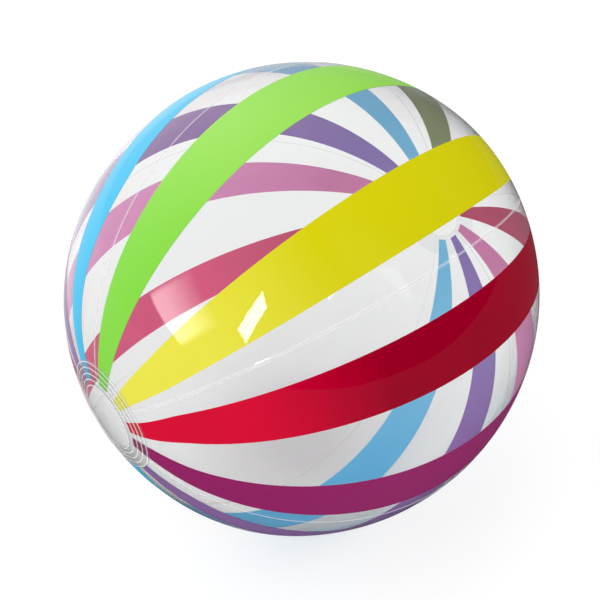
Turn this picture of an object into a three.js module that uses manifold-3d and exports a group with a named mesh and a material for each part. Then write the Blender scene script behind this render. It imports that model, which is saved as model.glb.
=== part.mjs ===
// Inflated beach ball: six welded panels of clear vinyl film, two round end caps and a push-in valve.
// Millimetres, +Z up. The polar axis, from cap to cap, runs along X with the valve at +X.
// The origin is the middle of the flat patch on which the ball's weight presses it to the ground.

import * as THREE from 'three';
import { mergeVertices } from 'three/addons/utils/BufferGeometryUtils.js';
import Module from 'manifold-3d';

// Driving dimensions.
const BALL_RADIUS = 340;
const FILM = 0.3;
const GAP = 0.3; // kept between pieces that touch
const FOOT_RADIUS = 35; // of the patch that lies flat on the ground

const PANEL_COUNT = 6;
const FIRST_SEAM = 100; // degrees round X, from -Y up towards +Z
const PANEL_END = 7.4; // polar angle, in degrees, at which the panels' tips are cut off
// Facets across a panel, and from the rim of one cap to the rim of the other. The panel that holds
// the foot has more, so that the foot comes out round.
const GRID = { across: 8, along: 16 };
const GROUND_GRID = { across: 12, along: 28 };

const CAP_FILM = 0.4;
const CAP_EDGE = 13.4; // polar angle, in degrees
const RIB_COUNT = 5; // concentric weld ribs that hold a cap to the panels' tips
const FIRST_RIB = 7.7;
const RIB_PITCH = 1.3;
const RIB_HALF_WIDTH = 0.24;
const RIB_HEIGHT = 1;
const CAP_MIDDLE = 4; // a station between the hole and the ribs
const RIM_STEPS = 3;

const FLANGE_RADIUS = 14.3;
const FLANGE_THICKNESS = 0.8;
const FLANGE_LIFT = 1; // of the flange's underside over the ball's radius
const THROAT_RADIUS = 8;
const THROAT_WALL = 1;
const THROAT_DEPTH = 14;

const BORE_RADIUS = 3.8;
const STEM_RADIUS = 6;
const STEM_DEPTH = 16;
const COLLAR_RADIUS = 11;
const COLLAR_THICKNESS = 0.6;
const SKIRT_RADIUS = 7.7;
const SKIRT_TOP = 12.3;
const SKIRT_THICKNESS = 1;

const PLUG_RADIUS = 6.5;
const PLUG_THICKNESS = 1.5;
const NOSE_ROOT = 3.4;
const NOSE_TIP = 2.5;
const NOSE_LENGTH = 5;
const STRAP_WIDTH = 5;
const STRAP_THICKNESS = 0.6;
const STRAP_PIVOT = 10; // from the valve's axis
const TAB_REACH = 10; // from the valve's axis, on the side away from the strap

const FLAP_RADIUS = 5.2;
const FLAP_THICKNESS = 0.8;
const FLAP_STRAP_WIDTH = 3.6;
const FLAP_PIVOT = 6;
const VALVE_SEGMENTS = 24;

// Derived values.
const CENTRE_HEIGHT = Math.sqrt(BALL_RADIUS ** 2 - FOOT_RADIUS ** 2);
const PANEL_ANGLE = 360 / PANEL_COUNT;
const CAP_SEGMENTS = GRID.across * PANEL_COUNT;
const FLANGE_FACE = BALL_RADIUS + FLANGE_LIFT + FLANGE_THICKNESS;
const COLLAR_TOP = GAP + COLLAR_THICKNESS;
const PLUG_UNDERSIDE = COLLAR_TOP + GAP;
const FLAP_TOP = -STEM_DEPTH - GAP;

const wasm = await Module();
wasm.setup();

const radians = THREE.MathUtils.degToRad;

/** A closed geometry as a manifold-3d solid, for joins and cuts. */
function solid(geometry) {
  const bare = geometry.clone();
  bare.deleteAttribute('normal');
  bare.deleteAttribute('uv');
  const merged = mergeVertices(bare, 1e-4);
  const index = merged.index.array;
  const corners = [];
  for (let i = 0; i < index.length; i += 3) {
    const [a, b, c] = index.subarray(i, i + 3);
    if (a !== b && b !== c && c !== a) corners.push(a, b, c);
  }
  const vertProperties = new Float32Array(merged.attributes.position.array);
  return new wasm.Manifold(new wasm.Mesh({ numProp: 3, vertProperties, triVerts: new Uint32Array(corners) }));
}

/** A manifold-3d solid as a geometry. */
function geometryOf(body) {
  const { vertProperties, triVerts } = body.getMesh();
  const geometry = new THREE.BufferGeometry();
  geometry.setAttribute('position', new THREE.BufferAttribute(vertProperties, 3));
  geometry.setIndex(new THREE.BufferAttribute(triVerts, 1));
  geometry.computeVertexNormals();
  return geometry;
}

/** Turns a profile of [radius, place along X] points about the X axis. Facet edges fall on the seams. */
function turned(profile, segments) {
  const points = profile.map(([radius, along]) => new THREE.Vector2(radius, along));
  const start = radians(90 - FIRST_SEAM);
  return new THREE.LatheGeometry(points, segments, start).rotateZ(-Math.PI / 2);
}

/** [radius, place along X] of the point at a polar angle on a sphere round the ball's centre. */
function polar(degrees, radius) {
  return [radius * Math.sin(radians(degrees)), radius * Math.cos(radians(degrees))];
}

function steps(from, to, count) {
  return Array.from({ length: count + 1 }, (_, i) => from + ((to - from) * i) / count);
}

function box(low, high) {
  const size = high.map((value, i) => value - low[i]);
  const middle = high.map((value, i) => (value + low[i]) / 2);
  return new THREE.BoxGeometry(...size).translate(...middle);
}

/** Points on a sphere at the polar angles of the panels' facet edges, from the valve end on. */
function meridian(radius, grid) {
  const rim = steps(PANEL_END, CAP_EDGE, RIM_STEPS);
  const band = steps(CAP_EDGE, 180 - CAP_EDGE, grid.along).slice(1, -1);
  const farRim = rim.map((angle) => 180 - angle).reverse();
  return [...rim, ...band, ...farRim].map((angle) => polar(angle, radius));
}

/** A wedge with its edge along X, which holds what lies between two seams, less half a gap each side. */
function wedge(middleAngle) {
  const half = radians(PANEL_ANGLE / 2);
  const apex = GAP / 2 / Math.sin(half);
  const reach = 2 * BALL_RADIUS;
  const outline = new THREE.Shape();
  outline.moveTo(apex, 0);
  outline.lineTo(apex + reach, -reach * Math.tan(half));
  outline.lineTo(apex + reach, reach * Math.tan(half));
  outline.closePath();
  const prism = new THREE.ExtrudeGeometry(outline, { depth: 2 * BALL_RADIUS, bevelEnabled: false });
  prism.translate(0, 0, -BALL_RADIUS);
  // The outline's first axis turns to -Y, its second to +Z and the extrusion to -X.
  prism.applyMatrix4(new THREE.Matrix4().set(0, 0, -1, 0, -1, 0, 0, 0, 0, 1, 0, 0, 0, 0, 0, 1));
  return prism.rotateX(-radians(middleAngle));
}

/** The plate of film that lies on the ground, and what is cut away below it. */
function foot() {
  const reach = 2 * FOOT_RADIUS;
  const rounds = meridian(BALL_RADIUS - FILM / 2, GROUND_GRID).reverse();
  const outline = [[0, rounds[0][1]], ...rounds, [0, rounds.at(-1)[1]]];
  const filled = solid(turned(outline, GROUND_GRID.across * PANEL_COUNT));
  const low = -CENTRE_HEIGHT;
  const plate = filled.intersect(solid(box([-reach, -reach, low], [reach, reach, low + FILM])));
  const below = solid(box([-reach, -reach, -1.1 * BALL_RADIUS], [reach, reach, low]));
  return { plate, below };
}

/** The film of all six panels in one shell, open at the poles. */
function panelShell(grid) {
  const loop = [...meridian(BALL_RADIUS, grid).reverse(), ...meridian(BALL_RADIUS - FILM, grid)];
  return solid(turned([...loop, loop[0]], grid.across * PANEL_COUNT));
}

/** One panel between two seams, with the flat foot where the ball rests on it. */
function panel(middleAngle, onGround) {
  const shell = panelShell(onGround ? GROUND_GRID : GRID);
  const piece = shell.intersect(solid(wedge(middleAngle)));
  if (!onGround) return geometryOf(piece);
  const { plate, below } = foot();
  return geometryOf(piece.subtract(below).add(plate));
}

/** The outer line of a cap, rib by rib, from its edge to the station near the pole. */
function ribbedLine(radius) {
  const line = [polar(CAP_EDGE, radius)];
  for (let i = RIB_COUNT - 1; i >= 0; i--) {
    const angle = FIRST_RIB + i * RIB_PITCH;
    line.push(polar(angle + RIB_HALF_WIDTH, radius));
    line.push(polar(angle, radius + RIB_HEIGHT));
    line.push(polar(angle - RIB_HALF_WIDTH, radius));
  }
  return [...line, polar(CAP_MIDDLE, radius)];
}

/** A round cap over the panels' tips, with a hole for the valve if holeRadius isn't 0. */
function endCap(holeRadius) {
  const inner = BALL_RADIUS + GAP;
  const outer = inner + CAP_FILM;
  const hole = THREE.MathUtils.radToDeg(Math.asin(holeRadius / inner));
  const insideAngles = [hole, CAP_MIDDLE, ...steps(PANEL_END, CAP_EDGE, RIM_STEPS)];
  const inside = insideAngles.map((angle) => polar(angle, inner));
  const outside = [...ribbedLine(outer), polar(hole, outer)];
  const line = [...inside, ...outside];
  return turned(holeRadius > 0 ? [...line, line[0]] : line, CAP_SEGMENTS);
}

/** The valve's base: a flange on the cap and a throat in which the stem slides. */
function valveFlange() {
  const wall = THROAT_RADIUS + THROAT_WALL;
  return turned([
    [THROAT_RADIUS, -THROAT_DEPTH],
    [wall, -THROAT_DEPTH],
    [wall, -FLANGE_THICKNESS],
    [FLANGE_RADIUS, -FLANGE_THICKNESS],
    [FLANGE_RADIUS, -FLANGE_THICKNESS / 2],
    [FLANGE_RADIUS - FLANGE_THICKNESS / 2, 0],
    [THROAT_RADIUS, 0],
    [THROAT_RADIUS, -THROAT_DEPTH],
  ], VALVE_SEGMENTS);
}

/** The tube that is blown into, with a collar as its stop and a skirt that fills the throat. */
function valveStem() {
  return turned([
    [BORE_RADIUS, -STEM_DEPTH],
    [STEM_RADIUS, -STEM_DEPTH],
    [STEM_RADIUS, -SKIRT_TOP - SKIRT_THICKNESS],
    [SKIRT_RADIUS, -SKIRT_TOP - SKIRT_THICKNESS],
    [SKIRT_RADIUS, -SKIRT_TOP],
    [STEM_RADIUS, -SKIRT_TOP],
    [STEM_RADIUS, GAP],
    [COLLAR_RADIUS, GAP],
    [COLLAR_RADIUS, COLLAR_TOP],
    [BORE_RADIUS, COLLAR_TOP],
    [BORE_RADIUS, -STEM_DEPTH],
  ], VALVE_SEGMENTS);
}

/** A flat strip as wide as width along Y, from z = from to z = to, with a half round end over its pivot. */
function strap(low, thickness, from, to, width) {
  const outline = new THREE.Shape();
  const half = thickness / 2;
  outline.moveTo(low, from);
  outline.lineTo(low + thickness, from);
  outline.lineTo(low + thickness, to);
  outline.absarc(low + half, to, half, 0, Math.PI, false);
  outline.closePath();
  const strip = new THREE.ExtrudeGeometry(outline, { depth: width, bevelEnabled: false, curveSegments: 6 });
  // The outline was drawn in X and Y: this stands it up in X and Z, with the width along Y.
  return strip.translate(0, 0, -width / 2).rotateX(Math.PI / 2);
}

/** The stopper: a tapered nose in the bore, a head with a pull tab, and the strap that keeps it. */
function valvePlug() {
  const top = PLUG_UNDERSIDE + PLUG_THICKNESS;
  const body = solid(turned([
    [0, PLUG_UNDERSIDE - NOSE_LENGTH],
    [NOSE_TIP, PLUG_UNDERSIDE - NOSE_LENGTH],
    [NOSE_ROOT, PLUG_UNDERSIDE],
    [PLUG_RADIUS, PLUG_UNDERSIDE],
    [PLUG_RADIUS, top - STRAP_THICKNESS / 2],
    [PLUG_RADIUS - STRAP_THICKNESS / 2, top],
    [0, top],
  ], VALVE_SEGMENTS));
  const keeper = solid(strap(PLUG_UNDERSIDE, STRAP_THICKNESS, 0, STRAP_PIVOT, STRAP_WIDTH));
  const tabEnd = TAB_REACH - STRAP_THICKNESS / 2;
  const tab = solid(strap(PLUG_UNDERSIDE, STRAP_THICKNESS, 0, tabEnd, STRAP_WIDTH).rotateX(Math.PI));
  return geometryOf(body.add(keeper).add(tab));
}

/** The soft flap that closes the stem's inner end against the air inside. */
function checkFlap() {
  const low = FLAP_TOP - FLAP_THICKNESS;
  const disc = solid(turned([
    [0, low],
    [FLAP_RADIUS, low],
    [FLAP_RADIUS, FLAP_TOP],
    [0, FLAP_TOP],
  ], VALVE_SEGMENTS));
  const keeper = solid(strap(low, FLAP_THICKNESS, 0, FLAP_PIVOT, FLAP_STRAP_WIDTH));
  return geometryOf(disc.add(keeper));
}

function vinyl(colour, roughness) {
  return new THREE.MeshStandardMaterial({ color: colour, roughness, metalness: 0 });
}

function named(name, geometry, material) {
  const mesh = new THREE.Mesh(geometry, material);
  mesh.name = name;
  return mesh;
}

// Names and the mix of the two printed stripes, in order round X from the first seam downwards.
const PANELS = [
  { name: 'panel_green_yellow', colour: '#b9dc48' },
  { name: 'panel_red_magenta', colour: '#bd1252' },
  { name: 'panel_purple_blue', colour: '#8a93cc' },
  { name: 'panel_clear', colour: '#e6e9ea', onGround: true },
  { name: 'panel_red_magenta_lower', colour: '#bd1252' },
  { name: 'panel_purple_blue_upper', colour: '#8a93cc' },
];

const skin = new THREE.Group();
PANELS.forEach(({ name, colour, onGround }, i) => {
  const middle = FIRST_SEAM - PANEL_ANGLE * (i + 0.5);
  skin.add(named(name, panel(middle, onGround), vinyl(colour, 0.18)));
});
const plainCap = named('end_cap_plain', endCap(0), vinyl('#e9ecee', 0.2));
plainCap.rotation.z = Math.PI;
skin.add(plainCap);
skin.add(named('end_cap_valve', endCap(THROAT_RADIUS + THROAT_WALL + GAP), vinyl('#e9ecee', 0.2)));

const valve = new THREE.Group();
valve.position.x = FLANGE_FACE;
valve.add(named('valve_flange', valveFlange(), vinyl('#dfe4e6', 0.3)));
valve.add(named('valve_stem', valveStem(), vinyl('#dfe4e6', 0.3)));
valve.add(named('valve_plug', valvePlug(), vinyl('#dfe4e6', 0.3)));
valve.add(named('valve_check_flap', checkFlap(), vinyl('#d3dadd', 0.4)));

const ball = new THREE.Group();
ball.position.z = CENTRE_HEIGHT;
ball.add(skin, valve);

export default ball;
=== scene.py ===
"""Inflated beach ball of clear vinyl with printed stripes: six welded gores, two ribbed caps, a valve.

Metres, +Z up. The polar axis runs along X with the valve at +X. Polar angles are counted from +X and
longitudes round X, from -Y up towards +Z, both in degrees.
"""
import math
from collections import namedtuple
import bmesh
import bpy
import numpy as np
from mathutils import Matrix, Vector


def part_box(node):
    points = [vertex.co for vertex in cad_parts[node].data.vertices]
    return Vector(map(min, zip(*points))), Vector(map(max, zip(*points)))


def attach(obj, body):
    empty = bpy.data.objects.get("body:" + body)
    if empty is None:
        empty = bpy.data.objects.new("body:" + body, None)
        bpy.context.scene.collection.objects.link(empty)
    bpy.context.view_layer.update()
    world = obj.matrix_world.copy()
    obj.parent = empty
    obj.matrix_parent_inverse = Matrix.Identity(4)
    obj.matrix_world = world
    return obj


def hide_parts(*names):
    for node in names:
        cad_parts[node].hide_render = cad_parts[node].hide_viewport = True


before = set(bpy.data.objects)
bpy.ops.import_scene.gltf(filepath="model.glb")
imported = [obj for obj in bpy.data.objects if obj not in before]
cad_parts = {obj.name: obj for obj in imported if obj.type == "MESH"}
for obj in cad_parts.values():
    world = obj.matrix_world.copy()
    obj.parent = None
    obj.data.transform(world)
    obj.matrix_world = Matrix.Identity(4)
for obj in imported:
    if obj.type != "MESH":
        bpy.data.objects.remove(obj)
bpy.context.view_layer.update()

# The ball, from the frame.
MM = 0.001
CAP_LIFT = 0.3 * MM  # of a cap's inner face over the gores
CAP_FILM = 0.4 * MM
FILM = 0.3 * MM
cap_low, cap_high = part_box("end_cap_plain")
CENTRE = Vector((0, 0, (cap_low.z + cap_high.z) / 2))
RADIUS = -cap_low.x - CAP_LIFT - CAP_FILM

# The gores.
GORE_COUNT = 6
GORE_ANGLE = 360 / GORE_COUNT
FIRST_GORE = 70  # longitude of the first gore's middle
STRIPE_OFFSET = 16.3  # of a stripe's middle from its gore's
STRIPE_HALF = 6.35  # half a stripe's width in longitude, at the equator
STRIPE_SPREAD, SPREAD_LATITUDE = 0.9, 69  # what that gains by this latitude
GORE_END = 7.4  # angle from either pole at which a gore's tip is cut off
STRIPE_END = 8.7  # the same for its stripes
SEAM_GAP = 0.008  # from a gore's edge to the middle of its weld, in degrees
CREASE_HALF = 0.07  # half the width of the dark crease along a weld's middle
BEAD_HALF = 0.22  # half the weld's width at the equator
BEAD_HEIGHT, BEAD_INWARD = 0.4 * MM, 0.35  # and what share of it stands inward too

# The caps. Their angles are in degrees from the cap's own pole.
CAP_EDGE = 13.4
RIBS = [7.7 + 1.3 * i for i in range(5)]
RIB_HALF = 0.17
RIB_SHADE_WIDTH = 0.16  # of the painted shade line along a rib's outer side
RIB_HEIGHT = 0.5 * MM
RIBBED_FROM = 6.9  # from here on a cap's rows lie closer
CAP_COLUMNS = 192
CAP_TAPER, CAP_THINNING = 0.35, 0.6  # width of the rim's taper, and how much of the film it takes off
VALVE_HOLE = 9.3 * MM  # radius of the hole in the valve's cap
POINT_HOLE = 0.02  # where a cap without a hole starts

# The studio. Its ways are azimuth and elevation, in degrees.
CAMERA_WAY = (-44.5, 39.2)
CAMERA_DISTANCE = 3.1 * RADIUS
CAMERA_LENS, CAMERA_SENSOR = 41.9, 36
CAMERA_SHIFT = (-0.001, -0.005)
KEY_WAY, KEY_DISTANCE, KEY_SIZE, KEY_POWER = (-105, 48), 2.6, 1.6, 16
ROOM = 1.25  # brightness of the white studio, as it lights the ball
ROOM_SEEN = 1.14  # the same as it's seen
FLOOR_REACH = 30
FLOOR_GAP = 0.2 * MM  # keeps the floor clear of the ball's foot
FLOOR_WHITE, FLOOR_DIM = 0.43, 0.05  # how much light it sends back, plainly seen and mirrored
# How bright the room looks in reflections, by the cosine to straight behind the ball, and to its left.
ROOM_BEHIND = (-0.1, 0.7, 0.01, 0.9)
ROOM_LEFT = (-0.4, 0.4, 0.02, 1.0)
FLOOR_GLOW_WITH_PAINTED_SHADOW = (0.15 * RADIUS, 0.6 * RADIUS, 0.35, 0.52)  # the glow from near the foot to further out, dimmer near the foot as a painted shadow
FLOOR_MIRRORED_MORE = 0.25  # how much brighter the floor is in reflections


def toward(azimuth, elevation):
    """Unit vector from the ball towards a camera or lamp at this azimuth and elevation, in degrees."""
    a, e = math.radians(azimuth), math.radians(elevation)
    return Vector((math.sin(a) * math.cos(e), -math.cos(a) * math.cos(e), math.sin(e)))


def smooth(low, high, x):
    """0 up to low, 1 from high on, with a soft slope between."""
    t = np.clip((x - low) / (high - low), 0, 1)
    return t * t * (3 - 2 * t)


def turn_gap(a, b):
    """Difference of two longitudes, from -180 to 180."""
    return (a - b + 180) % 360 - 180


def add_object(name, data):
    """A new object in the scene."""
    made = bpy.data.objects.new(name, data)
    bpy.context.scene.collection.objects.link(made)
    return made


# ---------------------------------------------------------------- shape of the film
# Soft flats and swells, where the air leaves the film slack or full:
# polar angle, longitude, spread in degrees, height in millimetres.
SWELLS = [
    (103, 126, 26, -7.5),
    (52, 52, 18, 4.5),
    (140, -52, 14, 2.2),
]
GORE_SWELL = 0.7  # heights in millimetres, here and below
PUCKER_COUNT, PUCKER_HEIGHT = 46, 0.22
RIPPLE_COUNT, RIPPLE_HEIGHT = 74, 0.12
RIPPLE_REACH = 2.6  # of the short puckers to either side of a weld, in degrees
FOOT_SOFTNESS = 1.2 * MM  # how softly the film turns into the flat foot


def relief(polar, lon):
    """How far the film stands off the sphere, in metres."""
    p, a = np.radians(polar), np.radians(lon)
    outward = np.stack([np.cos(p), -np.sin(p) * np.cos(a), np.sin(p) * np.sin(a)], -1)
    lift = np.zeros_like(p)
    for centre_polar, centre_lon, spread, height in SWELLS:
        cp, ca = math.radians(centre_polar), math.radians(centre_lon)
        middle = (math.cos(cp), -math.sin(cp) * math.cos(ca), math.sin(cp) * math.sin(ca))
        angle = np.degrees(np.arccos(np.clip(outward @ np.array(middle), -1, 1)))
        lift += height * np.exp(-0.5 * (angle / spread) ** 2)
    # Each gore swells a little between its welds.
    phase = np.radians(turn_gap(lon, FIRST_GORE) * GORE_COUNT)
    lift += GORE_SWELL * np.cos(phase) * np.sin(p) ** 2
    # Puckers run out from under the caps, and fade with distance.
    for side, pole in ((0, 0.0), (1, 180.0)):
        away = np.abs(polar - pole)
        fade = smooth(6.5, 10, away) * (1 - smooth(12, 30, away))
        strength = 0.6 + 0.4 * np.sin(5 * a + 1.3 + side)
        wave = np.sin(a * PUCKER_COUNT + 2.1 * np.sin(3 * a + side)) * strength
        lift += PUCKER_HEIGHT * fade * wave
    # Short puckers stand across the welds.
    seam = np.abs(turn_gap(lon * GORE_COUNT, (FIRST_GORE + GORE_ANGLE / 2) * GORE_COUNT)) / GORE_COUNT
    near = np.exp(-0.5 * (seam * np.sin(p) / RIPPLE_REACH) ** 2)
    ripple = np.sin(p * RIPPLE_COUNT + 3 * np.sin(4 * p + a)) * (0.5 + 0.5 * np.sin(p * 9 + 2 * a))
    clear_of_caps = smooth(12, 20, polar) * smooth(12, 20, 180 - polar)
    lift += RIPPLE_HEIGHT * near * ripple * clear_of_caps
    return lift * MM


def place(polar, lon, lift, floor):
    """Points of the film, lifted off the sphere, with the foot pressed flat at the height of floor."""
    p, a = np.radians(polar), np.radians(lon)
    r = RADIUS + relief(polar, lon) + lift
    x, y, z = r * np.cos(p), -r * np.sin(p) * np.cos(a), r * np.sin(p) * np.sin(a) + CENTRE.z
    z = floor + FOOT_SOFTNESS * np.logaddexp(0, (z - floor) / FOOT_SOFTNESS)
    return np.stack([x, y, z], -1)


RIM_SLOT = 1  # the rim's material, the second one of a film's slots


def grid_mesh(name, outer, inner, slots, slot_of_cell, closed_round=False):
    """A film with two faces. outer and inner are (rows, columns, 3) points; slot_of_cell gives each cell's
    material number on the outer and on the inner face. The rim between the two faces is closed, in the
    second material."""
    rows, cols = outer.shape[:2]
    verts = np.concatenate([outer.reshape(-1, 3), inner.reshape(-1, 3)])
    step = rows * cols
    number = np.arange(step).reshape(rows, cols)
    right = np.roll(number, -1, 1) if closed_round else number[:, 1:]
    left = number if closed_round else number[:, :-1]
    a, b, c, d = left[:-1], right[:-1], right[1:], left[1:]
    quads = [np.stack([a, b, c, d], -1).reshape(-1, 4), np.stack([d, c, b, a], -1).reshape(-1, 4) + step]
    outer_slots, inner_slots = slot_of_cell
    marks = [outer_slots.reshape(-1), inner_slots.reshape(-1)]

    def rim(line, after):
        quads.append(np.stack([line, line + step, after + step, after], -1))
        marks.append(np.full(len(line), RIM_SLOT))

    rim(left[0], right[0])
    rim(right[-1], left[-1])
    if not closed_round:
        rim(number[1:, 0], number[:-1, 0])
        rim(number[:-1, -1], number[1:, -1])
    faces = np.concatenate(quads)
    mesh = bpy.data.meshes.new(name)
    mesh.from_pydata(verts.tolist(), [], faces.tolist())
    mesh.polygons.foreach_set("material_index", np.concatenate(marks).astype(np.int32))
    mesh.polygons.foreach_set("use_smooth", np.ones(len(faces), bool))
    for material in slots:
        mesh.materials.append(material)
    mesh.update()
    return add_object(name, mesh)


# ---------------------------------------------------------------- materials
def srgb(r, g, b):
    """A colour given as it shows on a screen, from 0 to 255, as linear numbers."""
    linear = [((c / 255 + 0.055) / 1.055) ** 2.4 if c > 10.3 else c / 255 / 12.92 for c in (r, g, b)]
    return (*linear, 1)


WHITE = (1, 1, 1, 1)
COLOUR_A, COLOUR_B, COLOUR_OUT = 6, 7, 2  # places of the colour sockets on a mix node


def grey(share):
    """An even colour that sends back this share of the light."""
    return (share, share, share, 1)


class Nodes:
    """The node tree of a new material or world, with short calls to add to it."""

    def __init__(self, owner, output="OutputMaterial"):
        self.owner = owner
        owner.use_nodes = True
        self.tree = owner.node_tree
        self.tree.nodes.clear()
        self.out = self.add(output)

    def add(self, kind, settings=(), **inputs):
        node = self.tree.nodes.new("ShaderNode" + kind)
        for key, value in dict(settings).items():
            setattr(node, key, value)
        for key, value in inputs.items():
            self.set(node, key, value)
        return node

    def set(self, node, key, value):
        """Give an input a value or a link. key is the input's name, or i and its place."""
        by_place = key[0] == "i" and key[1:].isdigit()
        socket = node.inputs[int(key[1:]) if by_place else key.replace("_", " ")]
        if isinstance(value, bpy.types.NodeSocket):
            self.tree.links.new(value, socket)
        else:
            socket.default_value = value

    def maths(self, operation, a, b=0.0, clamp=False):
        return self.add("Math", {"operation": operation, "use_clamp": clamp}, i0=a, i1=b).outputs[0]

    def noise(self, scale, detail=2.0):
        where = self.add("TexCoord").outputs["Object"]
        noise = self.add("TexNoise", Vector=where, Scale=scale, Detail=detail, Roughness=0.5)
        return noise.outputs["Fac"]

    def span(self, value, low, high, to_low, to_high):
        ends = {"From_Min": low, "From_Max": high, "To_Min": to_low, "To_Max": to_high}
        return self.add("MapRange", Value=value, **ends).outputs[0]

    def dot(self, a, b):
        return self.add("VectorMath", {"operation": "DOT_PRODUCT"}, i0=a, i1=b).outputs["Value"]

    def glossy(self, roughness, **normal):
        return self.add("BsdfGlossy", Color=WHITE, Roughness=roughness, **normal).outputs[0]

    def bump(self, height, strength, distance):
        return self.add("Bump", Height=height, Strength=strength, Distance=distance).outputs[0]

    def mix_shaders(self, share, a, b):
        return self.add("MixShader", i0=share, i1=a, i2=b).outputs[0]

    def mirror_share(self, at_front, at_slant=0.6):
        """Schlick's share of light that a face mirrors, the same from both of its sides. The fine
        unevenness of the film keeps it below 1 at the flattest slant."""
        facing = self.add("LayerWeight", Blend=0.5).outputs["Facing"]
        fifth = self.maths("POWER", facing, 5.0)
        rest = self.maths("MULTIPLY", fifth, self.maths("SUBTRACT", at_slant, at_front))
        return self.maths("ADD", rest, at_front)

    def finish(self, shader):
        self.tree.links.new(shader, self.out.inputs["Surface"])
        return self.owner


def film_normal(n):
    """The film's fine unevenness: slow waves from the calender rolls, and a fine orange peel."""
    slow = n.noise(14.0, 1.0)
    fine = n.maths("MULTIPLY", n.noise(260.0), 0.04)
    return n.bump(n.maths("ADD", slow, fine), 0.1, 0.004)


def clear_film(name, tint, haze, mirror, mirror_behind):
    """Clear vinyl: it mirrors more at a slant, tints a little what shows through, and has a faint haze.
    mirror_behind is the share mirrored by the face's back, which is met from inside the film."""
    n = Nodes(bpy.data.materials.new(name))
    normal = film_normal(n)
    through = n.add("BsdfTransparent", Color=tint).outputs[0]
    milk = n.add("BsdfDiffuse", Color=(0.86, 0.88, 0.88, 1), Normal=normal).outputs[0]
    dust = n.span(n.noise(9.0, 3.0), 0.35, 0.75, haze * 0.6, haze * 1.5)
    body = n.mix_shaders(dust, through, milk)
    gloss = n.glossy(n.span(n.noise(30.0, 3.0), 0.3, 0.7, 0.021, 0.045), Normal=normal)
    behind = n.add("NewGeometry").outputs["Backfacing"]
    head_on = n.span(behind, 0.0, 1.0, mirror, mirror_behind)
    return n.finish(n.mix_shaders(n.mirror_share(head_on), body, gloss))


def print_with_painted_shading(n, plain_pole_colour, valve_pole_colour, reach, cloud_scale, cloudiness):
    """The print's colour: the plain pole's colour before the first of the two places along the polar axis in
    reach, and the valve's colour after the second, with soft clouds. The change between them is painted
    light and shade."""
    along = n.add("SeparateXYZ", Vector=n.add("TexCoord").outputs["Object"]).outputs["X"]
    # Painted shading: the colour changes along the polar axis as the light falls on the ball, not as the
    # print does.
    painted_shading = n.span(along, *reach, 0.0, 1.0)
    cloud = n.span(n.noise(cloud_scale, 3.0), 0.3, 0.7, -cloudiness, cloudiness)
    tone = n.add("Mix", {"data_type": "RGBA"}, Factor=n.maths("ADD", painted_shading, cloud, clamp=True))
    tone.inputs[COLOUR_A].default_value = plain_pole_colour
    tone.inputs[COLOUR_B].default_value = valve_pole_colour
    return tone.outputs[COLOUR_OUT]


def ink(name, plain_colour, valve_colour):
    """Printed stripe seen from outside, under the film's own gloss. Its colour changes along the polar axis
    by painted shading, for the light that falls from the plain pole's side: the red and the yellow darken
    towards the valve."""
    n = Nodes(bpy.data.materials.new(name))
    normal = film_normal(n)
    tone = print_with_painted_shading(n, plain_colour, valve_colour, PAINTED_SHADING_REACH, 5.0, 0.12)
    print_layer = n.add("BsdfDiffuse", Color=tone, Normal=normal).outputs[0]
    gloss = n.glossy(n.span(n.noise(30.0, 3.0), 0.3, 0.7, 0.008, 0.02), Normal=normal)
    return n.finish(n.mix_shaders(n.mirror_share(0.08, 0.5), print_layer, gloss))


def ink_back(name, plain_colour, valve_colour):
    """The same stripe seen from inside, through the film it is printed on: paler and duller. The paleness is
    partly the ink's own and partly painted: it holds the white veil of light that the near film mirrors and
    scatters over the far stripes. Its colour also changes along the polar axis by painted shading, for how
    the light falls on the ball's far side."""
    n = Nodes(bpy.data.materials.new(name))
    normal = film_normal(n)
    tone = print_with_painted_shading(n, plain_colour, valve_colour, PAINTED_SHADING_BACK_REACH, 6.0, 0.1)
    # The pale base colour is partly a painted veil of mirrored and scattered light.
    body = n.add("BsdfPrincipled", Base_Color=tone, Roughness=0.4, Normal=normal)
    body.inputs["IOR"].default_value = 1.25
    body.inputs["Specular IOR Level"].default_value = 0.3
    return n.finish(body.outputs[0])


def weld(name, share, tone):
    """Welded vinyl: milky where the film was squeezed. A dark tone makes the painted shade line along
    a cap's ribs instead.
    """
    n = Nodes(bpy.data.materials.new(name))
    through = n.add("BsdfTransparent", Color=(0.97, 0.975, 0.975, 1)).outputs[0]
    milk = n.add("BsdfDiffuse", Color=tone).outputs[0]
    grain = n.span(n.noise(420.0, 2.0), 0.3, 0.7, share * 0.75, share * 1.2)
    behind = n.add("NewGeometry").outputs["Backfacing"]
    cloud = n.maths("MULTIPLY", grain, n.span(behind, 0.0, 1.0, 1.0, WELD_FROM_INSIDE))
    body = n.mix_shaders(cloud, through, milk)
    gloss = n.glossy(0.3)
    return n.finish(n.mix_shaders(n.mirror_share(0.01, 0.4), body, gloss))


def valve_vinyl(name):
    """Soft moulded vinyl, translucent and faintly cloudy."""
    n = Nodes(bpy.data.materials.new(name))
    normal = n.bump(n.noise(500.0, 2.0), 0.15, 0.0005)
    cloud = n.span(n.noise(90.0, 2.0), 0.3, 0.7, 0.34, 0.46)
    through = n.add("BsdfTransparent", Color=(0.94, 0.95, 0.955, 1)).outputs[0]
    milk = n.add("BsdfPrincipled", Base_Color=(0.72, 0.75, 0.76, 1), Roughness=0.28, Normal=normal)
    return n.finish(n.mix_shaders(cloud, through, milk.outputs[0]))


def mirrored_room(n, way):
    """How bright the room looks in reflections: most behind the ball at the left."""
    behind = n.span(n.dot(way, -toward(CAMERA_WAY[0], 0)), *ROOM_BEHIND)
    leftward = n.span(n.dot(way, toward(CAMERA_WAY[0] - 90, 0)), *ROOM_LEFT)
    return n.maths("MULTIPLY", behind, leftward)


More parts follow.
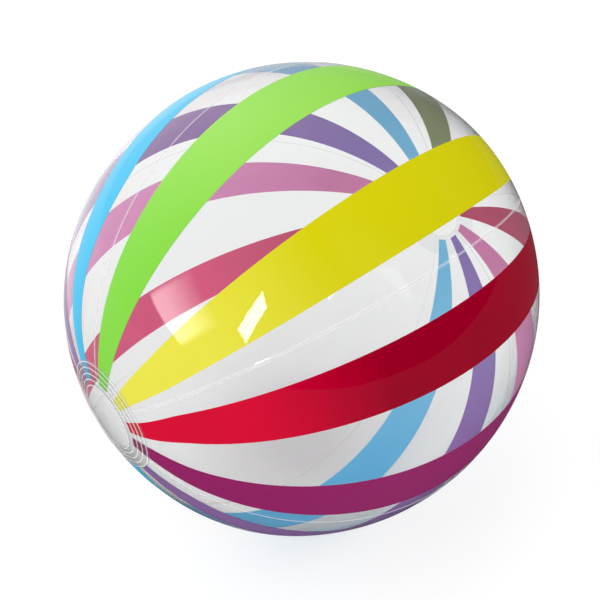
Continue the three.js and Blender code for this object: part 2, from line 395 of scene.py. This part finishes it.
def floor_paint(name):
    """White studio floor, a table lit softly from below too. Its glow is painted weaker under the ball, as a
    soft painted shadow. In reflections it's dim, as the room is, but for the part behind the ball at the
    left."""
    n = Nodes(bpy.data.materials.new(name))
    white = n.add("BsdfDiffuse", Color=grey(FLOOR_WHITE)).outputs[0]
    where = n.add("TexCoord").outputs["Object"]
    from_foot = n.add("VectorMath", {"operation": "LENGTH"}, i0=where).outputs["Value"]
    mirrored = n.add("LightPath").outputs["Is Glossy Ray"]
    more = n.maths("MULTIPLY", mirrored, FLOOR_MIRRORED_MORE)
    # Painted shadow: the glow is weaker near the ball's foot.
    strength = n.maths("ADD", n.span(from_foot, *FLOOR_GLOW_WITH_PAINTED_SHADOW), more)
    glow = n.add("Emission", Color=WHITE, Strength=strength).outputs[0]
    lit = n.add("AddShader", i0=white, i1=glow).outputs[0]
    dim = n.add("BsdfDiffuse", Color=grey(FLOOR_DIM)).outputs[0]
    way = n.add("VectorMath", {"operation": "NORMALIZE"}, i0=where).outputs["Vector"]
    dimmed = n.maths("MULTIPLY", mirrored, n.maths("SUBTRACT", 1.0, mirrored_room(n, way)))
    return n.finish(n.mix_shaders(dimmed, lit, dim))


WELD_FROM_INSIDE = 0.15  # how milky a weld looks from the ball's inside, against 1 from outside
CLEAR_TINT = (0.965, 0.968, 0.967, 1)
FILM_CLEAR = clear_film("film_clear", CLEAR_TINT, 0.012, 0.08, 0.01)
FILM_CLEAR_BACK = clear_film("film_clear_back", CLEAR_TINT, 0.012, 0.01, 0.01)
CAP_CLEAR = clear_film("cap_clear", CLEAR_TINT, 0.014, 0.08, 0.01)
WELD = weld("weld_seam", 0.36, grey(0.86))
CREASE = weld("weld_crease", 0.45, (0.34, 0.34, 0.35, 1))
RIB = weld("weld_rib", 0.42, (0.86, 0.86, 0.87, 1))
# Painted shade: a dark line along each rib's outer side.
RIB_SHADE = weld("weld_rib_shade", 0.2, (0.22, 0.23, 0.24, 1))
RIB_FAINT = weld("weld_rib_faint", 0.1, (0.75, 0.76, 0.77, 1))
VALVE = valve_vinyl("valve_vinyl")

# Where along the polar axis the painted shading turns the print from its plain pole's colour to its valve's,
# as seen from outside and from inside.
PAINTED_SHADING_REACH = (-0.8 * RADIUS, -0.42 * RADIUS)
PAINTED_SHADING_BACK_REACH = (0.1 * RADIUS, 0.8 * RADIUS)
# Each ink from outside, at the plain pole's end and at the valve's end, then the same from inside. The
# change between the two ends is painted shading, and the paleness from inside is partly a painted veil of
# light.
INKS = {
    "green": (srgb(122, 196, 66), srgb(133, 197, 70), srgb(160, 184, 122), srgb(142, 160, 114)),
    "yellow": (srgb(213, 208, 70), srgb(194, 188, 12), srgb(212, 206, 128), srgb(196, 190, 112)),
    "red": (srgb(198, 0, 46), srgb(138, 0, 30), srgb(250, 104, 146), srgb(198, 84, 116)),
    "magenta": (srgb(134, 26, 90), srgb(138, 36, 96), srgb(254, 168, 222), srgb(222, 142, 186)),
    "purple": (srgb(124, 92, 144), srgb(118, 87, 140), srgb(152, 104, 182), srgb(150, 132, 196)),
    "blue": (srgb(44, 172, 212), srgb(44, 172, 212), srgb(92, 188, 234), srgb(130, 210, 244)),
}
INK_MATERIALS = {
    name: (ink(f"ink_{name}", plain_pole_colour, valve_pole_colour), ink_back(f"ink_{name}_back", back, valve_back))
    for name, (plain_pole_colour, valve_pole_colour, back, valve_back) in INKS.items()
}


# ---------------------------------------------------------------- the gores
# A printed stripe: how far it's off its nominal place, how far more by 60 degrees of polar angle, how much
# wider each half is, and how far more its tip at the plain cap is off, all in degrees of longitude. The
# last number is the polar angle from which the tip bends off.
Stripe = namedtuple("Stripe", "ink shift drift wider tip tip_from", defaults=(0, 154))
PLAIN = Stripe(None, 0, 0, 0)
TIP_END = 171  # polar angle by which a tip is off in full
LEAST_SHRINK = 0.2  # limits how many degrees a weld takes up near the poles
FINE_ROWS_END = 30  # angle from either pole up to which a gore's rows lie closer

# Kinds of cell in a gore's grid: the places of their outer faces' materials among the gore's slots.
FILM_CELL, WELD_CELL, CREASE_CELL, UPPER_STRIPE, LOWER_STRIPE = 0, 1, 2, 4, 6
BACK_OF = {FILM_CELL: 3, WELD_CELL: 3, CREASE_CELL: 3, UPPER_STRIPE: 5, LOWER_STRIPE: 7}
# What a row crosses from edge to edge, and in how many columns.
STRETCHES = [
    (CREASE_CELL, 1), (WELD_CELL, 5), (FILM_CELL, 6), (LOWER_STRIPE, 9), (FILM_CELL, 12),
    (UPPER_STRIPE, 9), (FILM_CELL, 6), (WELD_CELL, 5), (CREASE_CELL, 1),
]


def gore_rows():
    """Polar angles of the grid's rows, with edges where the printed stripes end."""
    start = np.linspace(GORE_END, STRIPE_END, 3)[:-1]
    fine = np.linspace(STRIPE_END, FINE_ROWS_END, 40)[:-1]
    band = np.linspace(FINE_ROWS_END, 180 - FINE_ROWS_END, 121)[:-1]
    return np.concatenate([start, fine, band, 180 - fine[::-1], 180 - start[::-1]])


def stripe_half(polar):
    """Half a stripe's width in longitude at a polar angle: wider towards the poles."""
    latitude = np.abs(90 - polar)
    return STRIPE_HALF + STRIPE_SPREAD * (latitude / SPREAD_LATITUDE) ** 2


def gore_columns(polar, stripes):
    """Longitudes, from the gore's middle, of the grid's columns in one row, what kind of cell lies between
    each two, and the weld's width."""
    edge = GORE_ANGLE / 2 - SEAM_GAP
    shrink = max(math.sin(math.radians(polar)), LEAST_SHRINK)
    bead, crease = BEAD_HALF / shrink, CREASE_HALF / shrink
    stops = [-edge, crease - edge, bead - edge]
    for stripe, way in ((stripes[1], -1), (stripes[0], 1)):
        middle = way * STRIPE_OFFSET + stripe.shift + stripe.drift * (polar - 90) / 60
        middle += stripe.tip * smooth(stripe.tip_from, TIP_END, polar)
        half = stripe_half(polar) + stripe.wider
        stops += [middle - half, middle + half]
    stops += [edge - bead, edge - crease, edge]
    places, marks = [np.array([stops[0]])], []
    for low, high, (kind, count) in zip(stops, stops[1:], STRETCHES):
        places.append(np.linspace(low, high, count + 1)[1:])
        marks += [kind] * count
    return np.concatenate(places), marks, bead


def gore(name, middle, stripes, plain_end):
    """One gore. stripes are its two stripes, downwards from the first seam, or none, and plain_end is how
    far from the plain pole they end."""
    polars = gore_rows()
    columns = [gore_columns(p, stripes or (PLAIN, PLAIN)) for p in polars]
    lon = np.stack([middle + c[0] for c in columns])
    polar = np.repeat(polars[:, None], lon.shape[1], 1)
    beads = np.array([c[2] for c in columns])[:, None]
    from_seam = (GORE_ANGLE / 2 - np.abs(lon - middle)) / beads
    ridge = np.cos(np.clip(from_seam, 0, 1) * math.pi / 2) ** 1.2
    fade = smooth(CAP_EDGE, CAP_EDGE + 3, polar) * smooth(CAP_EDGE, CAP_EDGE + 3, 180 - polar)
    height = BEAD_HEIGHT * ridge * fade
    outer = place(polar, lon, height, 0.0)
    inner = place(polar, lon, -FILM - BEAD_INWARD * height, FILM)
    cells = np.repeat(np.array(columns[0][1])[None], len(polars) - 1, 0)
    mid = (polars[:-1] + polars[1:]) / 2
    bare = (mid < STRIPE_END) | (mid > 180 - plain_end)
    unprinted = bare[:, None] if stripes else np.ones_like(bare)[:, None]
    cells[unprinted & (cells >= UPPER_STRIPE)] = FILM_CELL
    slots = [FILM_CLEAR, WELD, CREASE, FILM_CLEAR_BACK]
    for stripe in stripes:
        slots += INK_MATERIALS[stripe.ink]
    inside = np.vectorize(BACK_OF.get)(cells)
    piece = grid_mesh(name, outer, inner, slots, (cells, inside))
    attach(piece, "ball")
    return piece


# Each gore's node, its stripes, and how far from the plain pole they end.
UNDER_CAP = CAP_EDGE - 0.3
UPPER_BLUE = Stripe("blue", 2, -2, -0.3, 13, 125)
GORES = [
    ("panel_green_yellow", (Stripe("green", 0.2, 0, 1), Stripe("yellow", -0.7, 0, 0.5, 1.5)), STRIPE_END),
    ("panel_red_magenta", (Stripe("red", -1, 0, 0.3, -3.5), Stripe("magenta", -1, 0, 0.8, 3)), STRIPE_END),
    ("panel_purple_blue", (Stripe("purple", -2.3, 0, 0, -5), Stripe("blue", 0.3, 0, 0.3, -4)), UNDER_CAP),
    ("panel_clear", (), STRIPE_END),
    ("panel_red_magenta_lower", (Stripe("red", 1.2, -0.8, -0.5), Stripe("magenta", 1.2, -3, 0)), STRIPE_END),
    ("panel_purple_blue_upper", (Stripe("purple", 3, 0, 0.5), UPPER_BLUE), STRIPE_END),
]
for count, (node, stripes, plain_end) in enumerate(GORES):
    made = gore(f"gore_{node[6:]}", FIRST_GORE - GORE_ANGLE * count, stripes, plain_end)
    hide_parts(node)


# ---------------------------------------------------------------- the caps
RIB_SLOT, RIB_SHADE_SLOT = 1, 2


def rib_height(away):
    """Height of the weld ribs at an angle from the cap's pole."""
    total = np.zeros_like(away)
    for rib in RIBS:
        total += np.clip(np.cos(np.clip((away - rib) / RIB_HALF, -1, 1) * math.pi / 2), 0, 1) ** 1.5
    return RIB_HEIGHT * total


def cap(name, node, pole, hole, rib_slots, rib_scale):
    """A round cap over the gores' tips. pole is 0 or 180; hole is the angle from it where the cap starts.
    rib_slots are the materials of its ribs and of the painted shade line along their outer side, and
    rib_scale is how high the ribs stand, against the full height."""
    away = np.concatenate([np.linspace(hole, RIBBED_FROM, 12)[:-1], np.linspace(RIBBED_FROM, CAP_EDGE, 118)])
    lon, far = np.meshgrid(np.arange(CAP_COLUMNS) * 360 / CAP_COLUMNS, away)
    polar = far if pole == 0 else 180 - far
    if pole == 180:
        lon = -lon
    edge = smooth(CAP_EDGE - CAP_TAPER, CAP_EDGE, far)
    lift = CAP_LIFT + CAP_FILM * (1 - CAP_THINNING * edge) + rib_scale * rib_height(far)
    outer = place(polar, lon, lift, 0.0)
    inner = place(polar, lon, np.full_like(lift, CAP_LIFT), 0.0)
    mid = (away[:-1] + away[1:]) / 2
    from_rib = np.stack([mid - rib for rib in RIBS])
    kind = np.zeros(len(mid), int)
    kind[(np.abs(from_rib) < RIB_HALF).any(0)] = RIB_SLOT
    # Painted shade: a dark line along each rib's outer side.
    kind[((from_rib >= RIB_HALF) & (from_rib < RIB_HALF + RIB_SHADE_WIDTH)).any(0)] = RIB_SHADE_SLOT
    outside = np.repeat(kind[:, None], CAP_COLUMNS, 1)
    slots = [CAP_CLEAR, *rib_slots, FILM_CLEAR_BACK]
    inside = np.full_like(outside, slots.index(FILM_CLEAR_BACK))
    piece = grid_mesh(name, outer, inner, slots, (outside, inside), closed_round=True)
    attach(piece, "ball")
    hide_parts(node)


cap("cap_valve", "end_cap_valve", 0, math.degrees(VALVE_HOLE / RADIUS), (RIB_FAINT, RIB_FAINT), 0.4)
cap("cap_plain", "end_cap_plain", 180, POINT_HOLE, (RIB, RIB_SHADE), 1)


# ---------------------------------------------------------------- the valve
VALVE_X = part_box("valve_flange")[1].x  # the flange's outer face
TURNED_SEGMENTS = 96
CORNER_STEPS = 3


def lathe(profile):
    """Rings of points about the valve's axis: profile is [radius, height over the flange's face] in
    millimetres, from the axis or from a bore and back, counter-clockwise."""
    angles = np.linspace(0, 2 * math.pi, TURNED_SEGMENTS, endpoint=False)
    points = np.array(profile, float) * MM
    x = VALVE_X + np.repeat(points[:, 1][:, None], TURNED_SEGMENTS, 1)
    y = points[:, 0][:, None] * np.cos(angles)[None]
    z = CENTRE.z + points[:, 0][:, None] * np.sin(angles)[None]
    return np.stack([x, y, z], -1)


def rounded(points, radius):
    """A closed outline with each corner off the axis rounded."""
    points = [np.array(p, float) for p in points]
    made = []
    for i, here in enumerate(points):
        before, after = points[i - 1], points[(i + 1) % len(points)]
        if here[0] < 1e-6:
            made.append(here)
            continue
        back, on = before - here, after - here
        reach = min(radius, 0.45 * np.linalg.norm(back), 0.45 * np.linalg.norm(on))
        start = here + back / np.linalg.norm(back) * reach
        end = here + on / np.linalg.norm(on) * reach
        for t in np.linspace(0, 1, CORNER_STEPS + 1):
            made.append((1 - t) ** 2 * start + 2 * t * (1 - t) * here + t * t * end)
    return made


def turned(name, outline, radius=0.25):
    """A turned piece of the valve as an object. An outline that touches the axis starts and ends there."""
    rings = lathe(rounded(outline, radius))
    count, segments = rings.shape[:2]
    on_axis = [i for i, ring in enumerate(rings) if np.allclose(ring[:, 1:], (0, CENTRE.z))]
    verts, ids = [], []
    for i in range(count):
        if i in on_axis:
            verts.append(rings[i, 0])
            ids.append([len(verts) - 1] * segments)
        else:
            ids.append(list(range(len(verts), len(verts) + segments)))
            verts.extend(rings[i])
    faces = []
    for i in range(count):
        j = (i + 1) % count
        if i in on_axis and j in on_axis:
            continue
        for k in range(segments):
            m = (k + 1) % segments
            corners = [ids[i][k], ids[i][m], ids[j][m], ids[j][k]]
            faces.append(list(dict.fromkeys(corners)))
    mesh = bpy.data.meshes.new(name)
    mesh.from_pydata([tuple(v) for v in verts], [], faces)
    mesh.polygons.foreach_set("use_smooth", np.ones(len(faces), bool))
    mesh.materials.append(VALVE)
    return add_object(name, mesh)


def strip(name, outline, low, high, soft=0.2):
    """A flat closed piece: outline is [across, up from the valve's axis], between two heights over the
    flange's face, all in millimetres, with its rims rounded by soft."""
    shape = bmesh.new()
    rings = [
        [shape.verts.new((VALVE_X + x * MM, y * MM, CENTRE.z + z * MM)) for y, z in outline]
        for x in (low, high)
    ]
    shape.faces.new(rings[0][::-1])
    shape.faces.new(rings[1])
    for i in range(len(outline)):
        j = (i + 1) % len(outline)
        shape.faces.new((rings[0][i], rings[0][j], rings[1][j], rings[1][i]))
    rims = [edge for edge in shape.edges if abs(edge.verts[0].co.x - edge.verts[1].co.x) < 1e-7]
    bmesh.ops.bevel(shape, geom=rims, offset=soft * MM, segments=3, profile=0.5, affect="EDGES")
    bmesh.ops.recalc_face_normals(shape, faces=shape.faces)
    mesh = bpy.data.meshes.new(name)
    shape.to_mesh(mesh)
    shape.free()
    mesh.materials.append(VALVE)
    return add_object(name, mesh)


def oblong(half, low, high):
    """Outline between two heights over the valve's axis, half as wide to each side of it."""
    return [(-half, low), (half, low), (half, high), (-half, high)]


def tongue(half, length):
    """Outline that hangs down from the valve's axis, with a round end."""
    turns = np.linspace(0, math.pi, 13)
    arc = [(-half * math.cos(t), half - length - half * math.sin(t)) for t in turns]
    return [(-half, 0)] + arc + [(half, 0)]


def united(base, others):
    """base with the other closed pieces joined into it as one solid."""
    for other in others:
        join = base.modifiers.new("join", "BOOLEAN")
        join.operation, join.solver, join.object = "UNION", "EXACT", other
    graph = bpy.context.evaluated_depsgraph_get()
    mesh = bpy.data.meshes.new_from_object(base.evaluated_get(graph))
    base.modifiers.clear()
    base.data = mesh
    for other in others:
        bpy.data.objects.remove(other)
    mesh.polygons.foreach_set("use_smooth", np.ones(len(mesh.polygons), bool))
    mesh.set_sharp_from_angle(angle=math.radians(35))
    return base


def valve_piece(piece, body, node):
    """Put a piece of the valve on its body, in place of the CAD node."""
    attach(piece, body)
    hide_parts(node)


# All in millimetres, over the flange's face and from the valve's axis.
BORE, STEM_OUTSIDE, STEM_LOW = 3.8, 6, -16
BARB, BARB_LOW, BARB_HIGH = 7.7, -13.3, -12.3  # the ring that holds the stem in the base
COLLAR, COLLAR_LOW, COLLAR_HIGH = 11, 0.3, 0.9
THROAT, THROAT_OUTSIDE, THROAT_LOW = 8, 9, -14
FLANGE, FLANGE_LOW = 14.3, -0.8
STOPPER, STOPPER_LOW, STOPPER_TOP = 6.5, 1.2, 2.4
STRAP_HALF, STRAP_LENGTH, STRAP_HIGH, TAB_LENGTH = 2.5, 10.3, 1.8, 9.7
FLAP, FLAP_LOW, FLAP_HIGH = 5.2, -17.1, -16.3

flange = turned("valve_base", [
    (THROAT, THROAT_LOW), (THROAT_OUTSIDE, THROAT_LOW), (THROAT_OUTSIDE, FLANGE_LOW), (FLANGE, FLANGE_LOW),
    (FLANGE, -0.35), (13.6, 0), (12.9, 0), (12.6, -0.25), (12.3, 0), (THROAT, 0),
])
valve_piece(flange, "ball", "valve_flange")
tube = turned("valve_tube", [
    (BORE, STEM_LOW), (STEM_OUTSIDE, STEM_LOW), (STEM_OUTSIDE, BARB_LOW), (BARB, BARB_LOW),
    (BARB, BARB_HIGH), (STEM_OUTSIDE, BARB_HIGH), (STEM_OUTSIDE, COLLAR_LOW), (COLLAR, COLLAR_LOW),
    (COLLAR, COLLAR_HIGH), (10.4, COLLAR_HIGH), (10.1, 0.7), (9.8, COLLAR_HIGH),
    (BORE + 1.2, COLLAR_HIGH), (BORE, 0.6),
])
pad = strip("strap_pad", oblong(3, 8.4, 10.2), 0.6, STOPPER_LOW - 0.08, 0.15)
valve_piece(united(tube, [pad]), "stem", "valve_stem")
head = turned("valve_stopper", [
    (0, -3.8), (2.5, -3.8), (2.9, -1.6), (2.7, -1.4), (3.4, STOPPER_LOW), (STOPPER, STOPPER_LOW),
    (STOPPER, STOPPER_TOP), (6.1, 2.7), (5.3, 2.7), (4.9, STOPPER_TOP), (0, STOPPER_TOP),
], 0.3)
strap = strip("strap", oblong(STRAP_HALF, 0, STRAP_LENGTH), STOPPER_LOW, STRAP_HIGH, 0.27)
tab = strip("tab", tongue(STRAP_HALF, TAB_LENGTH), STOPPER_LOW, STRAP_HIGH)
grips = [strip("grip", oblong(1.6, z - 0.15, z + 0.15), 1.6, 2.0, 0.1) for z in (-7.4, -8.1, -8.8)]
valve_piece(united(head, [strap, tab] + grips), "plug", "valve_plug")
leaf = turned("valve_flap", [(0, FLAP_LOW), (FLAP, FLAP_LOW), (FLAP, FLAP_HIGH), (0, FLAP_HIGH)])
hinge = strip("hinge", oblong(1.8, 0, 6.3), FLAP_LOW, FLAP_HIGH, 0.3)
valve_piece(united(leaf, [hinge]), "flap", "valve_check_flap")


# ---------------------------------------------------------------- floor, light and camera
def stage_floor():
    mesh = bpy.data.meshes.new("floor")
    reach = FLOOR_REACH
    corners = [(-reach, -reach, 0), (reach, -reach, 0), (reach, reach, 0), (-reach, reach, 0)]
    mesh.from_pydata(corners, [], [(0, 1, 2, 3)])
    mesh.materials.append(floor_paint("floor_paint"))
    floor = add_object("floor", mesh)
    floor.location.z = -FLOOR_GAP


def set_camera():
    camera = add_object("camera", bpy.data.cameras.new("camera"))
    back = toward(*CAMERA_WAY)
    camera.location = CENTRE + back * CAMERA_DISTANCE
    camera.rotation_mode = "QUATERNION"
    camera.rotation_quaternion = (-back).to_track_quat("-Z", "Y")
    camera.data.sensor_width = CAMERA_SENSOR
    camera.data.lens = CAMERA_LENS
    camera.data.shift_x, camera.data.shift_y = CAMERA_SHIFT
    camera.data.clip_start, camera.data.clip_end = 0.01, 100
    bpy.context.scene.camera = camera


def key_lamp():
    """A square studio lamp that faces the ball and isn't mirrored in it."""
    data = bpy.data.lights.new("key", "AREA")
    data.shape = "RECTANGLE"
    data.size, data.size_y = KEY_SIZE, KEY_SIZE
    data.energy = KEY_POWER
    lamp = add_object("key", data)
    way = toward(*KEY_WAY)
    lamp.location = CENTRE + way * KEY_DISTANCE
    lamp.rotation_mode = "QUATERNION"
    lamp.rotation_quaternion = (-way).to_track_quat("-Z", "Y")
    lamp.visible_glossy = False
    lamp.visible_camera = False


# What the ball mirrors of the room, besides a brighter far side: a window, given by its corners, and a white
# panel at the left, given by two ways along each of its straight edges and how soft each edge is.
WINDOW = [(-66, 40), (-61.2, 32.5), (-68.7, 16), (-73.3, 20.7)]
WINDOW_LIGHT, WINDOW_SOFTNESS = 10, 0.008
PANEL_WAY, PANEL_LIGHT = (-105.0, 15.0), 3.6
PANEL_EDGES = [
    ((-121.0, 13.5), (-96.5, 5.0), 0.012),
    ((-108.5, 34.0), (-80.5, 20.0), 0.3),
    ((-121.5, 13.5), (-109.5, 34.5), 0.05),
    ((-96.0, 4.5), (-72.0, 27.0), 0.06),
]


def studio_world():
    """An even white studio. Mirrored, it's darker on the camera's side, but for the window and the panel."""
    n = Nodes(bpy.data.worlds.new("studio"), "OutputWorld")
    way = n.add("TexCoord").outputs["Generated"]

    def side(first, second, inner, soft):
        """1 on the side of the plane through two ways where inner is, 0 on the other."""
        normal = toward(*first).cross(toward(*second)).normalized()
        if normal.dot(inner) < 0:
            normal.negate()
        return n.span(n.dot(way, normal), 0.0, soft, 0.0, 1.0)

    middle = sum((toward(*corner) for corner in WINDOW), Vector())
    pane = WINDOW_LIGHT
    for first, second in zip(WINDOW, WINDOW[1:] + WINDOW[:1]):
        pane = n.maths("MULTIPLY", side(first, second, middle, WINDOW_SOFTNESS), pane)
    panel = PANEL_LIGHT
    for first, second, soft in PANEL_EDGES:
        panel = n.maths("MULTIPLY", side(first, second, toward(*PANEL_WAY), soft), panel)
    light = n.maths("ADD", n.maths("ADD", mirrored_room(n, way), pane), panel)
    mirrored = n.add("Background", Color=WHITE, Strength=light).outputs[0]

    rays = n.add("LightPath").outputs
    strength = n.maths("ADD", n.maths("MULTIPLY", rays["Is Diffuse Ray"], ROOM - ROOM_SEEN), ROOM_SEEN)
    plain = n.add("Background", Color=WHITE, Strength=strength).outputs[0]
    bpy.context.scene.world = n.finish(n.mix_shaders(rays["Is Glossy Ray"], plain, mirrored))


stage_floor()
set_camera()
studio_world()
key_lamp()

scene = bpy.context.scene
scene.view_settings.view_transform = "Standard"
scene.cycles.transparent_max_bounces = 32
